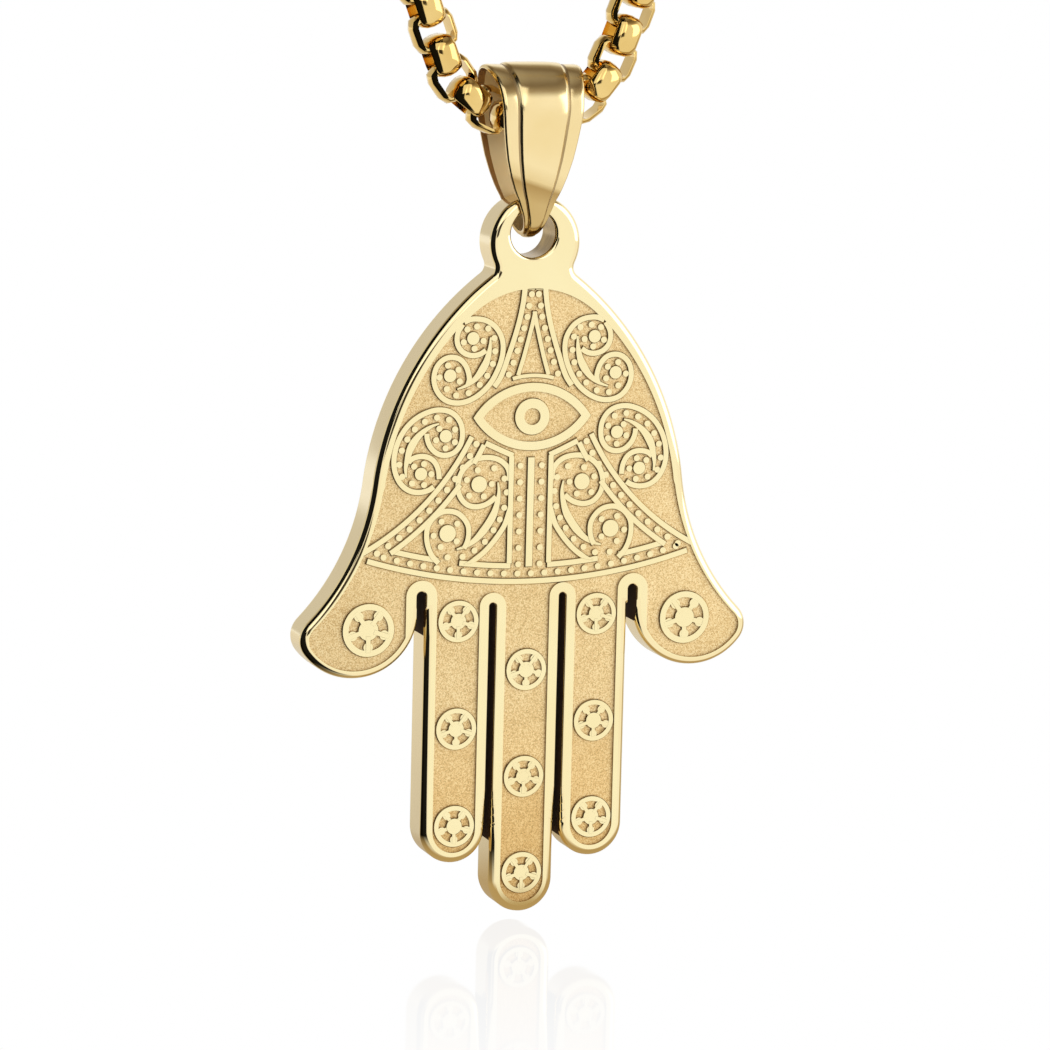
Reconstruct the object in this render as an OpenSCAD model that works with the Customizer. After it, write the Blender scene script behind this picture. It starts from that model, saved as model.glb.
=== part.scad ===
/* [Plate] */
// Thickness of the hand plate
plate_t = 3; // [2:0.1:4]
// Bevel along both edges of the plate
edge_bevel = 0.3; // [0.1:0.05:0.45]
// Radius of the finest cutter: sunk gaps narrower than twice this close up
cutter_r = 0.03; // [0.02:0.01:0.06]
// Depth of the sunk floor of the relief
relief_depth = 0.25; // [0.1:0.05:0.6]
/* [Outline of the hand] */
// Sideways reach of the shoulder arc's centre past the middle line
shoulder_reach = 9.5; // [8.8:0.1:10.2]
// Height of the shoulder arc's centre below the eye
shoulder_drop = 7; // [6.4:0.1:7.6]
// Radius of the shoulder arc
shoulder_r = 20.8; // [20.2:0.1:21.6]
// Radius of the hollow flank
flank_r = 16.05; // [15:0.05:17.5]
// Radius of the thumb's outer corner
tip_r = 1.65; // [1.2:0.05:2]
// Radius under the thumb
thumb_r = 4.45; // [4:0.05:5]
// Width of each finger
finger_w = 4.56; // [4.2:0.02:5]
// Height of the outer fingers' end circles below the eye
finger_drop = 28.5; // [26:0.1:30]
// Height of the middle finger's end circle below the eye
middle_drop = 32.2; // [31:0.1:34]
/* [Slots between the fingers] */
// Width of the two inner slots
slot_w = 0.46; // [0.3:0.02:0.7]
// Width of the two outer slots
thumb_slot_w = 0.64; // [0.4:0.02:0.9]
// Height of the left inner slot's top below the eye
slot_left_drop = 12.75; // [12.4:0.05:14]
// Height of the right inner slot's top below the eye
slot_right_drop = 12.2; // [12:0.05:14]
// Height of the outer slots' tops below the eye
thumb_slot_drop = 11.8; // [11.8:0.05:13]
// Polished border beside an inner slot
slot_border = 0.72; // [0.5:0.02:0.9]
// Polished border beside an outer slot
thumb_slot_border = 0.78; // [0.6:0.02:0.9]
/* [Eyelet] */
// Sideways place of the eyelet hole and of the bail
hang_x = -0.2; // [-0.4:0.05:0.4]
// Radius of the round lobe round the hole
lobe_r = 3.2; // [2.9:0.05:3.4]
// Height of the lobe's centre above the eye
lobe_z = 11.8; // [11.7:0.1:12.2]
// Radius of the eyelet hole
hole_r = 1.6; // [1.5:0.05:1.8]
// Height of the hole's centre above the eye
hole_z = 12.4; // [12.2:0.05:12.6]
/* [Recess] */
// Polished border along the shoulders
shoulder_border = 0.75; // [0.5:0.05:1]
// Polished border along the flanks
flank_border = 0.7; // [0.4:0.05:0.8]
// Polished border round the thumbs
thumb_border = 0.55; // [0.4:0.05:0.8]
// Height of the recess's top above the eye
recess_top = 8.72; // [8.3:0.02:8.9]
// Radius of the recess's top edge
recess_top_r = 6.6; // [6:0.1:8]
// Half width of the sunk strip in the outer fingers
strip_half_w = 1.61; // [1.4:0.01:1.8]
// Half width of the sunk strip in the middle finger
middle_strip_half_w = 1.51; // [1.4:0.01:1.8]
/* [Relief] */
// Reference width of the relief, from the middle line to the skirt's corner
relief_w = 11.7; // [11:0.1:12]
// Width of the raised lines
line_w = 0.36; // [0.26:0.01:0.4]
// Width of the sunk bands that hold the beads
band_w = 0.68; // [0.56:0.01:0.74]
// Radius of the beads in the bands
bead_r = 0.23; // [0.18:0.01:0.27]
// Half width of the eye
eye_half_w = 4.27; // [4:0.01:4.5]
// Half height of the eye
eye_half_h = 2.35; // [2.1:0.01:2.5]
// Width of the raised rim of the eye
eye_rim = 0.63; // [0.4:0.01:0.8]
// Outer radius of the iris ring
iris_r = 1.28; // [1:0.02:1.5]
// Radius of the sunk pupil
pupil_r = 0.58; // [0.4:0.02:0.8]
// Radius of the finger rosettes
rosette_r = 1.48; // [1.2:0.01:1.55]
// Radius of the thumb rosettes
thumb_rosette_r = 1.86; // [1.5:0.01:2.1]
/* [Bail] */
// Thickness of the bail's strip
bail_t = 0.5; // [0.4:0.05:0.6]
// Inner radius of the arch that holds the chain
arch_r = 2.7; // [2.6:0.05:2.9]
// Height of the arch's centre above the eye
arch_z = 20.7; // [20.5:0.05:20.9]
// Half width of the bail at its top
bail_half_w = 3.45; // [3.2:0.05:3.8]
// Room between the plate's bevelled edge and the closed foot of the bail
foot_clear = 0.1; // [0.05:0.01:0.15]
/* [Chain] */
// Length of the whole loop
loop_len = 500; // [420:10:610]
// Width across the chain
chain_w = 3.2; // [3:0.1:3.4]
// Lean of each strand from the vertical
strand_lean = 20.5; // [15:0.5:24]
// Radius of the bend where the chain carries the bail
bend_r = 6.6; // [6:0.1:7.5]
// Sideways place of the bend, off the middle line under the clasp
bend_x = -0.45; // [-0.6:0.05:0.2]
// Room between the chain and the bail's arch at the edge of the bail
chain_room = 0.23; // [0.2:0.01:0.4]
/* [Clasp] */
// Length of the clasp's barrel
clasp_len = 14; // [10:0.5:18]
// Radius of the clasp's barrel
clasp_r = 2; // [1.8:0.1:2.6]
// Gap between each end of the clasp and the chain
clasp_gap = 0.15; // [0.1:0.05:0.3]

/* [Hidden] */
$fn = 48;
gold = [0.93, 0.79, 0.5];
deep_gold = [0.85, 0.68, 0.33];
// Reach of the cutting tools past the plate, and of hidden overlaps inside it
over = 1;
lap = 0.5;
far = 60;

// The foot of the bail passes through the hole and clears the lobe's bevelled edge
foot_z = hole_z + hole_r + 0.2;
foot_r = norm([plate_t / 2, lobe_z + lobe_r - foot_z - edge_bevel]) + foot_clear;
// Bail sections: height as a share of the way from the foot's centre to the arch's centre,
// half width as a share of bail_half_w
BAIL_WIDTHS = [
    [-0.3, 0.15], [-0.08, 0.27], [0.07, 0.38], [0.17, 0.48], [0.33, 0.59], [0.5, 0.68],
    [0.67, 0.74], [0.85, 0.79], [1, 0.82], [1.15, 0.84], [1.3, 0.88], [1.42, 0.95], [1.49, 1],
];

// The loop: a tight bend at the bottom, two straight strands and a wide arc at the top
bend_span = 180 - 2 * strand_lean;
top_span = 180 + 2 * strand_lean;
turn = PI / 180;
rise_share = 2 * cos(strand_lean) + sin(strand_lean) * top_span * turn;
strand_rise = (loop_len - bend_r * (bend_span + top_span) * turn) / rise_share;
top_r = bend_r + strand_rise * sin(strand_lean);
top_c = [0, -top_r];
bend_c = [0, -top_r - strand_rise];
// The chain rises to both sides inside the bail and stays clear of the arch at the bail's edges
bail_reach = bail_half_w + abs(hang_x - bend_x);
reach_rise = bend_r - sqrt(bend_r * bend_r - bail_reach * bail_reach);
reach_lean = asin(bail_reach / bend_r);
chain_z = arch_z + arch_r - chain_room - reach_rise - chain_w / 2 / cos(reach_lean);
eye_z = bend_c.y - bend_r - chain_z;
// Turn of the loop about the clasp that brings the bend to its place
loop_turn = asin(bend_x / (bend_c.y - bend_r));
clasp_half_turn = asin((clasp_len / 2 + clasp_gap) / top_r);
// Route of the chain's middle line: x, z and the direction of travel, for each ring
function arc_route(c, r, a0, a1, steps) =
    [for (i = [0:steps]) let (a = lerp(a0, a1, i / steps)) [c.x + r * cos(a), c.y + r * sin(a), a + 90]];
ROUTE = concat(
    arc_route(top_c, top_r, 90 + clasp_half_turn, 180 + strand_lean, 18),
    arc_route(bend_c, bend_r, 180 + strand_lean, 360 - strand_lean, 14),
    arc_route(top_c, top_r, -strand_lean, 90 - clasp_half_turn, 18)
);

// Directions in which one arc of the outline passes into the next
shoulder_to_flank = 7;
flank_to_tip = 224.4;
thumb_to_tip = -37.8;
shoulder_c = [-shoulder_reach, -shoulder_drop];
flank_c = shoulder_c + (shoulder_r + flank_r) * heading(shoulder_to_flank);
tip_c = flank_c + (flank_r + tip_r) * heading(flank_to_tip);
thumb_c = tip_c - (thumb_r - tip_r) * heading(thumb_to_tip);
waist = shoulder_c + shoulder_r * heading(shoulder_to_flank);
cheek = flank_c + flank_r * heading(flank_to_tip);
finger_x = finger_w + slot_w;
block_half_w = finger_x + finger_w / 2;
slot_x = (finger_w + slot_w) / 2;
thumb_slot_x = block_half_w + thumb_slot_w / 2;
rosette_x = thumb_c.x - 0.72;
rosette_drop = 1.05 - thumb_c.y;

// Where the skirt's curved lines are centred, as shares of relief_w
hem_c = [0, 2.342] * relief_w;
hem_r = 3.325 * relief_w;
sash_c = [1.709, 0.556] * relief_w;
sash_r = 1.483 * relief_w;
sash_top = 204.5;
sash_foot = 242;
// Half the gap between the two upright lines at the middle of the skirt, and its bead column
upright_x = 0.121 * relief_w;
column_x = 0.066 * relief_w;
skirt_top = -0.23 * relief_w;
spire_foot = 0.24 * relief_w;
spire_top = 0.64 * relief_w;
// Scrolls as shares of relief_w: first head x, y; second head x, y; how far the back's
// centre leans to the front; back radius; head radius; knob radius; number of beads
SCROLLS = [
    [0.372, 0.462, 0.507, 0.248, 0, 0.265, 0.122, 0.042, 7],
    [0.667, -0.318, 0.526, -0.103, 0, 0.262, 0.120, 0.042, 7],
    [0.316, -0.389, 0.502, -0.671, 0.064, 0.359, 0.141, 0.048, 8],
];

function heading(a) = [cos(a), sin(a)];
// Points on an arc of a circle, from angle a0 to a1
function arc_points(c, r, a0, a1, steps) =
    [for (i = [0:steps]) c + r * heading(a0 + (a1 - a0) * i / steps)];
function lerp(a, b, t) = a + (b - a) * t;

module both_sides() {
    children();
    mirror([1, 0, 0])
        children();
}

// A round slab with a bevel on both edges
module round_slab(c, r) {
    translate([c.x, c.y, 0])
        rotate_extrude()
            polygon([
                [0, 0],
                [r - edge_bevel, 0],
                [r, edge_bevel],
                [r, plate_t - edge_bevel],
                [r - edge_bevel, plate_t],
                [0, plate_t],
            ]);
}

// A round cutter whose edges flare by b at both faces of the plate
module round_cutter(c, r, b) {
    translate([c.x, c.y, 0])
        rotate_extrude()
            polygon([
                [0, -over],
                [r + b + over, -over],
                [r, b],
                [r, plate_t - b],
                [r + b + over, plate_t + over],
                [0, plate_t + over],
            ]);
}

// A straight slab along the fingers with bevelled sides, from y0 down to y1
module long_slab(x, half_w, y0, y1) {
    translate([x, y0, 0])
        rotate([90, 0, 0])
            linear_extrude(height = y0 - y1)
                polygon([
                    [-half_w + edge_bevel, 0],
                    [half_w - edge_bevel, 0],
                    [half_w, edge_bevel],
                    [half_w, plate_t - edge_bevel],
                    [half_w - edge_bevel, plate_t],
                    [-half_w + edge_bevel, plate_t],
                    [-half_w, plate_t - edge_bevel],
                    [-half_w, edge_bevel],
                ]);
}

module slab(points) {
    linear_extrude(height = plate_t)
        polygon(points);
}

module cutter(points) {
    translate([0, 0, -over])
        linear_extrude(height = plate_t + 2 * over)
            polygon(points);
}

// Half plane below a line through c that runs in the direction a
function below(c, a) = [
    c - far * heading(a),
    c + far * heading(a),
    c + far * heading(a) + far * heading(a - 90),
    c - far * heading(a) + far * heading(a - 90),
];

// The dome of the hand, between the two shoulder arcs and the waist
module dome() {
    difference() {
        intersection() {
            round_slab(shoulder_c, shoulder_r);
            round_slab([-shoulder_c.x, shoulder_c.y], shoulder_r);
        }
        cutter(below([0, waist.y], 0));
    }
}

// One flaring side of the hand with its thumb
module thumb_side() {
    difference() {
        slab([
            [-lap, waist.y + lap],
            [waist.x - lap, waist.y + lap],
            waist,
            lerp(waist, cheek, 0.5) + over * heading(shoulder_to_flank),
            cheek,
            tip_c,
            tip_c + lap * heading(thumb_to_tip - 90),
            thumb_c + lap * heading(thumb_to_tip - 90),
            [-lap, thumb_c.y],
        ]);
        round_cutter(flank_c, flank_r, edge_bevel);
    }
    round_slab(tip_c, tip_r);
    intersection() {
        round_slab(thumb_c, thumb_r);
        slab(below(thumb_c, thumb_to_tip));
    }
}

module fingers() {
    long_slab(0, block_half_w, thumb_c.y + over, -finger_drop);
    long_slab(0, finger_w / 2, -finger_drop + over, -middle_drop);
    for (side = [-1, 1])
        round_slab([side * finger_x, -finger_drop], finger_w / 2);
    round_slab([0, -middle_drop], finger_w / 2);
}

// Outline of a slot that is open at the fingers' ends
module slot_shape(x, drop, w) {
    translate([x, -drop - w / 2])
        circle(d = w);
    translate([x - w / 2, -far])
        square([w, far - drop - w / 2]);
}

module slot_shapes(border, thumb_border_w) {
    slot_shape(-slot_x, slot_left_drop - border, slot_w + 2 * border);
    slot_shape(slot_x, slot_right_drop - border, slot_w + 2 * border);
    for (side = [-1, 1])
        slot_shape(side * thumb_slot_x, thumb_slot_drop - thumb_border_w, thumb_slot_w + 2 * thumb_border_w);
}

// The sunk area inside the polished border, before the raised work is put in
module recess() {
    recess_waist = waist.y + over;
    intersection() {
        translate(shoulder_c + [shoulder_border, 0])
            circle(r = shoulder_r - 2 * shoulder_border);
        translate([-shoulder_c.x - shoulder_border, shoulder_c.y])
            circle(r = shoulder_r - 2 * shoulder_border);
        union() {
            translate([0, recess_top - recess_top_r])
                circle(r = recess_top_r);
            translate([-far, recess_waist])
                square([2 * far, recess_top - 0.29 * recess_top_r - recess_waist]);
        }
    }
    both_sides() {
        difference() {
            polygon([
                [-lap, recess_waist + lap],
                [waist.x - over, recess_waist + lap],
                [waist.x - lap, recess_waist],
                lerp(waist, cheek, 0.5),
                cheek + flank_border * heading(flank_to_tip),
                tip_c,
                tip_c + lap * heading(thumb_to_tip - 90),
                thumb_c + lap * heading(thumb_to_tip - 90),
                [-lap, thumb_c.y - over],
            ]);
            translate(flank_c)
                circle(r = flank_r + flank_border);
        }
        translate(tip_c)
            circle(r = tip_r - thumb_border);
        intersection() {
            translate(thumb_c)
                circle(r = thumb_r - thumb_border);
            polygon(below(thumb_c, thumb_to_tip));
        }
        strip(finger_x, strip_half_w, finger_drop);
    }
    strip(0, middle_strip_half_w, middle_drop);
}

// A sunk strip along a finger with a round end
module strip(x, half_w, drop) {
    translate([x - half_w, -drop])
        square([2 * half_w, drop + thumb_c.y]);
    translate([x, -drop])
        circle(r = half_w);
}

module ring(r_out, r_in, sides = 16) {
    difference() {
        circle(r = r_out, $fn = sides);
        circle(r = r_in, $fn = sides);
    }
}

// A raised line of even width through the given points
function unit(v) = v / norm(v);
function side_step(p, i) =
    let (a = p[max(i - 1, 0)], b = p[min(i + 1, len(p) - 1)], d = unit(b - a)) [-d.y, d.x];
module raised_line(p, w = line_w) {
    last = len(p) - 1;
    polygon(concat(
        [for (i = [0:last]) p[i] + side_step(p, i) * w / 2],
        [for (i = [last:-1:0]) p[i] - side_step(p, i) * w / 2]
    ));
}

module beads(p, r = bead_r) {
    for (c = p)
        translate(c)
            circle(r = r, $fn = 6);
}

// A scroll with two round heads joined by a curved band of beads
module scroll(row) {
    a = [row[0], row[1]] * relief_w;
    b = [row[2], row[3]] * relief_w;
    reach = norm(b - a) / 2;
    back_c = [0, row[4] * relief_w];
    back_r = row[5] * relief_w;
    head_r = row[6] * relief_w;
    knob_r = row[7] * relief_w;
    row_r = back_r - line_w - band_w / 2;
    translate((a + b) / 2)
        rotate(atan2(b.y - a.y, b.x - a.x)) {
            difference() {
                union() {
                    for (side = [-1, 1])
                        translate([side * reach, 0])
                            circle(r = head_r, $fn = 16);
                    back_band(back_c, back_r, band_w + 2 * line_w);
                }
                for (side = [-1, 1])
                    translate([side * reach, 0])
                        circle(r = head_r - line_w, $fn = 16);
                back_band(back_c, back_r - line_w, band_w);
            }
            for (side = [-1, 1])
                translate([side * reach, 0])
                    circle(r = knob_r, $fn = 8);
            beads([for (i = [1:row[8]]) back_c + row_r * heading(180 + 180 * (i - 0.5) / row[8])]);
        }
}

// The half of a ring that lies on the back side of a scroll
module back_band(c, r, w) {
    intersection() {
        translate(c)
            ring(r, r - w, 32);
        translate([-far, -far])
            square([2 * far, far]);
    }
}

// A ring that holds a knob and beads, some of them joining it to the knob
module rosette(r) {
    ring(r, 0.77 * r);
    circle(r = 0.36 * r, $fn = 8);
    beads([for (i = [0:4]) 0.58 * r * heading(-90 + 72 * i)], 0.175 * r);
}

module rosettes() {
    for (share = [0.542, 0.774, 0.984])
        translate([0, -share * middle_drop])
            rosette(rosette_r);
    for (side = [-1, 1]) {
        for (share = [0.486, 0.748, 0.986])
            translate([side * finger_x, -share * finger_drop])
                rosette(rosette_r);
        translate([side * rosette_x, -rosette_drop])
            rosette(thumb_rosette_r);
    }
}

// An almond between two arcs that meet at half_w to each side
module almond(half_w, half_h) {
    r = (half_w * half_w + half_h * half_h) / (2 * half_h);
    intersection() {
        translate([0, half_h - r])
            circle(r = r);
        translate([0, r - half_h])
            circle(r = r);
    }
}

module eye() {
    difference() {
        almond(eye_half_w, eye_half_h);
        almond(eye_half_w - 1.2 * eye_rim, eye_half_h - eye_rim);
    }
    ring(iris_r, pupil_r);
}

// The tall pointed figure above the eye
module spire() {
    lid_r = (eye_half_w * eye_half_w + eye_half_h * eye_half_h) / (2 * eye_half_h);
    lid_c = [0, eye_half_h - lid_r];
    lid_gap = 0.3;
    difference() {
        polygon([[0, spire_top], [0.115 * relief_w, spire_foot], [-0.115 * relief_w, spire_foot]]);
        polygon([[0, 0.521 * relief_w], [0.079 * relief_w, 0.252 * relief_w], [-0.079 * relief_w, 0.252 * relief_w]]);
    }
    raised_line(arc_points(lid_c, lid_r + lid_gap + line_w / 2, 90 - 28, 90 + 28, 8));
    both_sides() {
        raised_line([for (q = [
            [0.062, 0.76], [0.085, 0.61], [0.111, 0.504], [0.139, 0.405], [0.166, 0.32], [0.2, 0.228], [0.228, 0.165],
        ]) q * relief_w]);
        beads([for (i = [0:6]) [0.036 + 0.018 * i + 0.0006 * i * i, 0.645 - 0.0665 * i] * relief_w]);
        translate([0.02, 0.71] * relief_w)
            circle(r = bead_r);
    }
}

// The skirt below the eye, with its hem, sashes, uprights and bead rows
module skirt() {
    hem_in_r = hem_r - line_w - band_w - line_w;
    raised_line(arc_points(hem_c, hem_r - line_w / 2, 270 - 18.5, 270 + 18.5, 18));
    beads([for (i = [-11:11]) hem_c + (hem_r - line_w - band_w / 2) * heading(270 + 1.457 * i)]);
    translate([-0.024 * relief_w, -0.884 * relief_w])
        square([0.048 * relief_w, 0.884 * relief_w + skirt_top]);
    both_sides() {
        raised_line(arc_points(hem_c, hem_in_r + line_w / 2, 270 + 1.85, 270 + 15.3, 6));
        raised_line(arc_points(sash_c, sash_r + line_w / 2, sash_top, sash_foot + 1, 8));
        raised_line(arc_points(sash_c, sash_r + band_w + 1.5 * line_w, sash_top + 1.8, sash_foot - 4, 8));
        beads([for (i = [0:11]) sash_c + (sash_r + line_w + band_w / 2) * heading(207 + 2.93 * i)]);
        raised_line([[upright_x, skirt_top + 0.01 * relief_w], [upright_x, -0.88 * relief_w]]);
        raised_line([[upright_x - line_w / 2, skirt_top], [0.3, -0.152] * relief_w]);
        beads([for (i = [0:6]) [column_x, -0.286 * relief_w - 0.0965 * relief_w * i]]);
    }
}

// Everything that stands up from the sunk floor
module raised_work() {
    eye();
    spire();
    skirt();
    both_sides()
        for (row = SCROLLS)
            scroll(row);
    rosettes();
    slot_shapes(slot_border, thumb_slot_border);
}

// The plate lies flat here, its face up; standing() sets it upright
module flat_plate() {
    difference() {
        union() {
            dome();
            both_sides()
                thumb_side();
            fingers();
            round_slab([0, lobe_z], lobe_r);
        }
        translate([0, 0, -over])
            linear_extrude(height = plate_t + 2 * over)
                slot_shapes(0, 0);
        translate([hang_x, hole_z, -over])
            cylinder(r = hole_r, h = plate_t + 2 * over);
        translate([0, 0, plate_t - relief_depth])
            linear_extrude(height = relief_depth + over)
                offset(delta = cutter_r)
                    offset(delta = -cutter_r)
                        difference() {
                            recess();
                            raised_work();
                        }
    }
}

// Sets flat work upright, its face toward the front and its middle on the hanging plane
module standing() {
    translate([0, 0, eye_z])
        rotate([90, 0, 0])
            translate([0, 0, -plate_t / 2])
                children();
}

module hand_plate() {
    color(gold)
        standing()
            flat_plate();
}

// Side view of the bail: two round ends joined by straight legs, drawn as y across and z up
module bail_side(grow) {
    hull() {
        translate([0, arch_z])
            circle(r = arch_r + grow);
        translate([0, foot_z])
            circle(r = foot_r + grow);
    }
}

// Front view of the bail, from the table of its half widths
module bail_front() {
    rows = len(BAIL_WIDTHS) - 1;
    bottom = foot_z - foot_r - bail_t - over;
    top = arch_z + arch_r + bail_t + over;
    function row_point(i, side) =
        [side * BAIL_WIDTHS[i][1] * bail_half_w, lerp(foot_z, arch_z, BAIL_WIDTHS[i][0])];
    polygon(concat(
        [[BAIL_WIDTHS[0][1] * bail_half_w, bottom]],
        [for (i = [0:rows]) row_point(i, 1)],
        [[bail_half_w, top], [-bail_half_w, top]],
        [for (i = [rows:-1:0]) row_point(i, -1)],
        [[-BAIL_WIDTHS[0][1] * bail_half_w, bottom]]
    ));
}

module bail() {
    color(deep_gold)
        translate([hang_x, 0, eye_z])
            intersection() {
                rotate([90, 0, 90])
                    translate([0, 0, -2 * bail_half_w])
                        linear_extrude(height = 4 * bail_half_w)
                            difference() {
                                bail_side(bail_t);
                                bail_side(0);
                            }
                rotate([90, 0, 0])
                    translate([0, 0, -far])
                        linear_extrude(height = 2 * far)
                            bail_front();
            }
}

// The chain as an eight-sided tube along its route, from one end of the clasp to the other
module chain() {
    sides = 8;
    rings = len(ROUTE);
    points = [for (p = ROUTE, k = [0:sides - 1])
        let (a = 360 * (k + 0.5) / sides, w = chain_w / 2 / cos(180 / sides))
        [p[0] - w * cos(a) * sin(p[2]), w * sin(a), p[1] + w * cos(a) * cos(p[2])]];
    walls = [for (i = [0:rings - 2], k = [0:sides - 1])
        let (n = (k + 1) % sides, low = i * sides, high = low + sides)
        each [[low + k, high + k, high + n], [low + k, high + n, low + n]]];
    ends = [
        [for (k = [0:sides - 1]) k],
        [for (k = [sides - 1:-1:0]) (rings - 1) * sides + k],
    ];
    color(deep_gold)
        rotate([0, loop_turn, 0])
            polyhedron(points = points, faces = concat(walls, ends));
}

module clasp() {
    neck = 0.6 * clasp_r;
    shoulder = clasp_len / 2 - clasp_r;
    color(deep_gold)
        rotate([0, 90, 0])
            rotate_extrude()
                polygon([
                    [0, -clasp_len / 2],
                    [neck, -clasp_len / 2],
                    [clasp_r, -shoulder],
                    [clasp_r, shoulder],
                    [neck, clasp_len / 2],
                    [0, clasp_len / 2],
                ]);
}

hand_plate();
bail();
chain();
clasp();
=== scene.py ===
from math import acos, asin, atan2, cos, degrees, hypot, pi, radians, sin, sqrt

import bmesh
import bpy
from mathutils import Matrix, Vector


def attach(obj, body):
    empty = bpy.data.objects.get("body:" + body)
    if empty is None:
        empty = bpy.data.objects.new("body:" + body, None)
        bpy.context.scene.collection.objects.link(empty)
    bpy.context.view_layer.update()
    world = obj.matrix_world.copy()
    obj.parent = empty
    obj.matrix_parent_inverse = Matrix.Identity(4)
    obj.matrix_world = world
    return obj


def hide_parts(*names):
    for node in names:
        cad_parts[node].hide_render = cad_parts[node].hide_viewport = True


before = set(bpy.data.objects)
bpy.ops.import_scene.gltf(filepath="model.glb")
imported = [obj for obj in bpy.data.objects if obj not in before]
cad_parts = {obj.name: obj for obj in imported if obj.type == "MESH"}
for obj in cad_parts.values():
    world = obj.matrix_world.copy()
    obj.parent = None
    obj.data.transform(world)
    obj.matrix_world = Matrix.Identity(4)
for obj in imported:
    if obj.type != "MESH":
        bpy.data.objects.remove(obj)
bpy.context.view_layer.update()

MM = 0.001

# Sizes of the pendant in millimetres, the same as in its construction
PLATE_T, EDGE_BEVEL = 3.0, 0.3
# the rounding of its edges, finer than the bevel it is built with
EDGE_ROUND, HOLE_ROUND, SLOT_ROUND, NECK_FILLET = 0.45, 0.25, 0.12, 0.7
# the raised work reads shallower to the eye than the 0.25 it is built with
RELIEF_DEPTH = 0.17
LINE_W, CRESCENT_W = 0.45, 0.62
BEAD_R = 0.225
SHOULDER_C, SHOULDER_R = (-9.5, -7.0), 20.8
FLANK_R, TIP_R, THUMB_R = 16.05, 1.65, 4.45
TO_FLANK, TO_TIP, TO_THUMB = 7, 224.4, -37.8
FINGER_W, SLOT_W, THUMB_SLOT_W = 4.56, 0.46, 0.64
FINGER_DROP, MIDDLE_DROP = 28.5, 32.2
# by side: left and right
SLOT_TOPS = {-1: -12.75, 1: -12.2}
THUMB_SLOT_TOP = -11.8
# the painted shade in the slots ends here
THUMB_SHADE_END, SLOT_SHADE_END = -14.9, -29.4
SLOT_BORDER, THUMB_SLOT_BORDER = 0.72, 0.78
HANG_X = -0.2
LOBE_R, LOBE_Z, HOLE_R, HOLE_Z = 3.2, 11.8, 1.6, 12.4
SHOULDER_BORDER, FLANK_BORDER, THUMB_BORDER = 0.75, 0.7, 0.55
RECESS_TOP, RECESS_TOP_R = 8.72, 6.6
EYE_HALF_W, EYE_HALF_H, EYE_RIM, IRIS_R, PUPIL_R = 4.27, 2.35, 0.63, 1.28, 0.58
ROSETTE_R, THUMB_ROSETTE_R = 1.48, 1.86
BAIL_T, ARCH_R, ARCH_Z, BAIL_HALF_W = 0.5, 2.7, 20.7, 3.45
LOOP_LEN, CHAIN_W, STRAND_LEAN, BEND_R, BEND_X = 500.0, 3.2, 20.5, 6.6, -0.45
# clearances: chain under the arch, foot's centre over the hole's top, foot round the lobe, chain to clasp
CHAIN_ROOM, FOOT_LIFT, FOOT_ROOM, CLASP_GAP = 0.23, 0.2, 0.1, 0.15
CLASP_HALF = 7.0
# the links, the first one's place along the loop and how much shorter than the loop their row is
LINKS, FIRST_LINK, LINK_ENDS = 280, 1.4, 3

# The loop's own lengths, worked out from the sizes above
LEAN = radians(STRAND_LEAN)
BEND_SPAN, TOP_SPAN = pi - 2 * LEAN, pi + 2 * LEAN
STRAND = (LOOP_LEN - BEND_R * (BEND_SPAN + TOP_SPAN)) / (2 * cos(LEAN) + sin(LEAN) * TOP_SPAN)
TOP_R = BEND_R + STRAND * sin(LEAN)
BEND_Z = -TOP_R - STRAND
BAIL_REACH = BAIL_HALF_W + abs(HANG_X - BEND_X)
REACH_RISE = BEND_R - sqrt(BEND_R ** 2 - BAIL_REACH ** 2)
CHAIN_Z = ARCH_Z + ARCH_R - CHAIN_ROOM - REACH_RISE - CHAIN_W / 2 / cos(asin(BAIL_REACH / BEND_R))
EYE_Z = BEND_Z - BEND_R - CHAIN_Z
LOOP_TURN = asin(BEND_X / (BEND_Z - BEND_R))
FOOT_Z = HOLE_Z + HOLE_R + FOOT_LIFT
FOOT_R = hypot(PLATE_T / 2, LOBE_Z + LOBE_R - FOOT_Z - EDGE_BEVEL) + FOOT_ROOM


def heading(deg):
    return Vector((cos(radians(deg)), sin(radians(deg))))


SHOULDER = Vector(SHOULDER_C)
FLANK = SHOULDER + (SHOULDER_R + FLANK_R) * heading(TO_FLANK)
TIP = FLANK + (FLANK_R + TIP_R) * heading(TO_TIP)
THUMB = TIP - (THUMB_R - TIP_R) * heading(TO_THUMB)
FINGER_X = FINGER_W + SLOT_W
BLOCK_HALF_W = FINGER_X + FINGER_W / 2
FRONT = -PLATE_T / 2
FLOOR = FRONT + RELIEF_DEPTH


# Helpers for work in edit mode
def deselect():
    if bpy.context.mode != "OBJECT":
        bpy.ops.object.mode_set(mode="OBJECT")
    bpy.ops.object.select_all(action="DESELECT")


def edit(piece, kind="FACE"):
    deselect()
    piece.select_set(True)
    bpy.context.view_layer.objects.active = piece
    bpy.ops.object.mode_set(mode="EDIT")
    bpy.ops.mesh.select_mode(type=kind)


def done():
    bpy.ops.object.mode_set(mode="OBJECT")
    return bpy.context.active_object


def pick(test):
    mesh = bmesh.from_edit_mesh(bpy.context.active_object.data)
    mesh.faces.ensure_lookup_table()
    for face in mesh.faces:
        face.select_set(test(face))
    mesh.select_flush_mode()
    bmesh.update_edit_mesh(bpy.context.active_object.data)


def front_point(p, y):
    """A point of the hand's drawing, measured from the eye, in metres and y behind the hanging plane."""
    return Vector((p[0] * MM, y * MM, (EYE_Z + p[1]) * MM))


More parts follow.
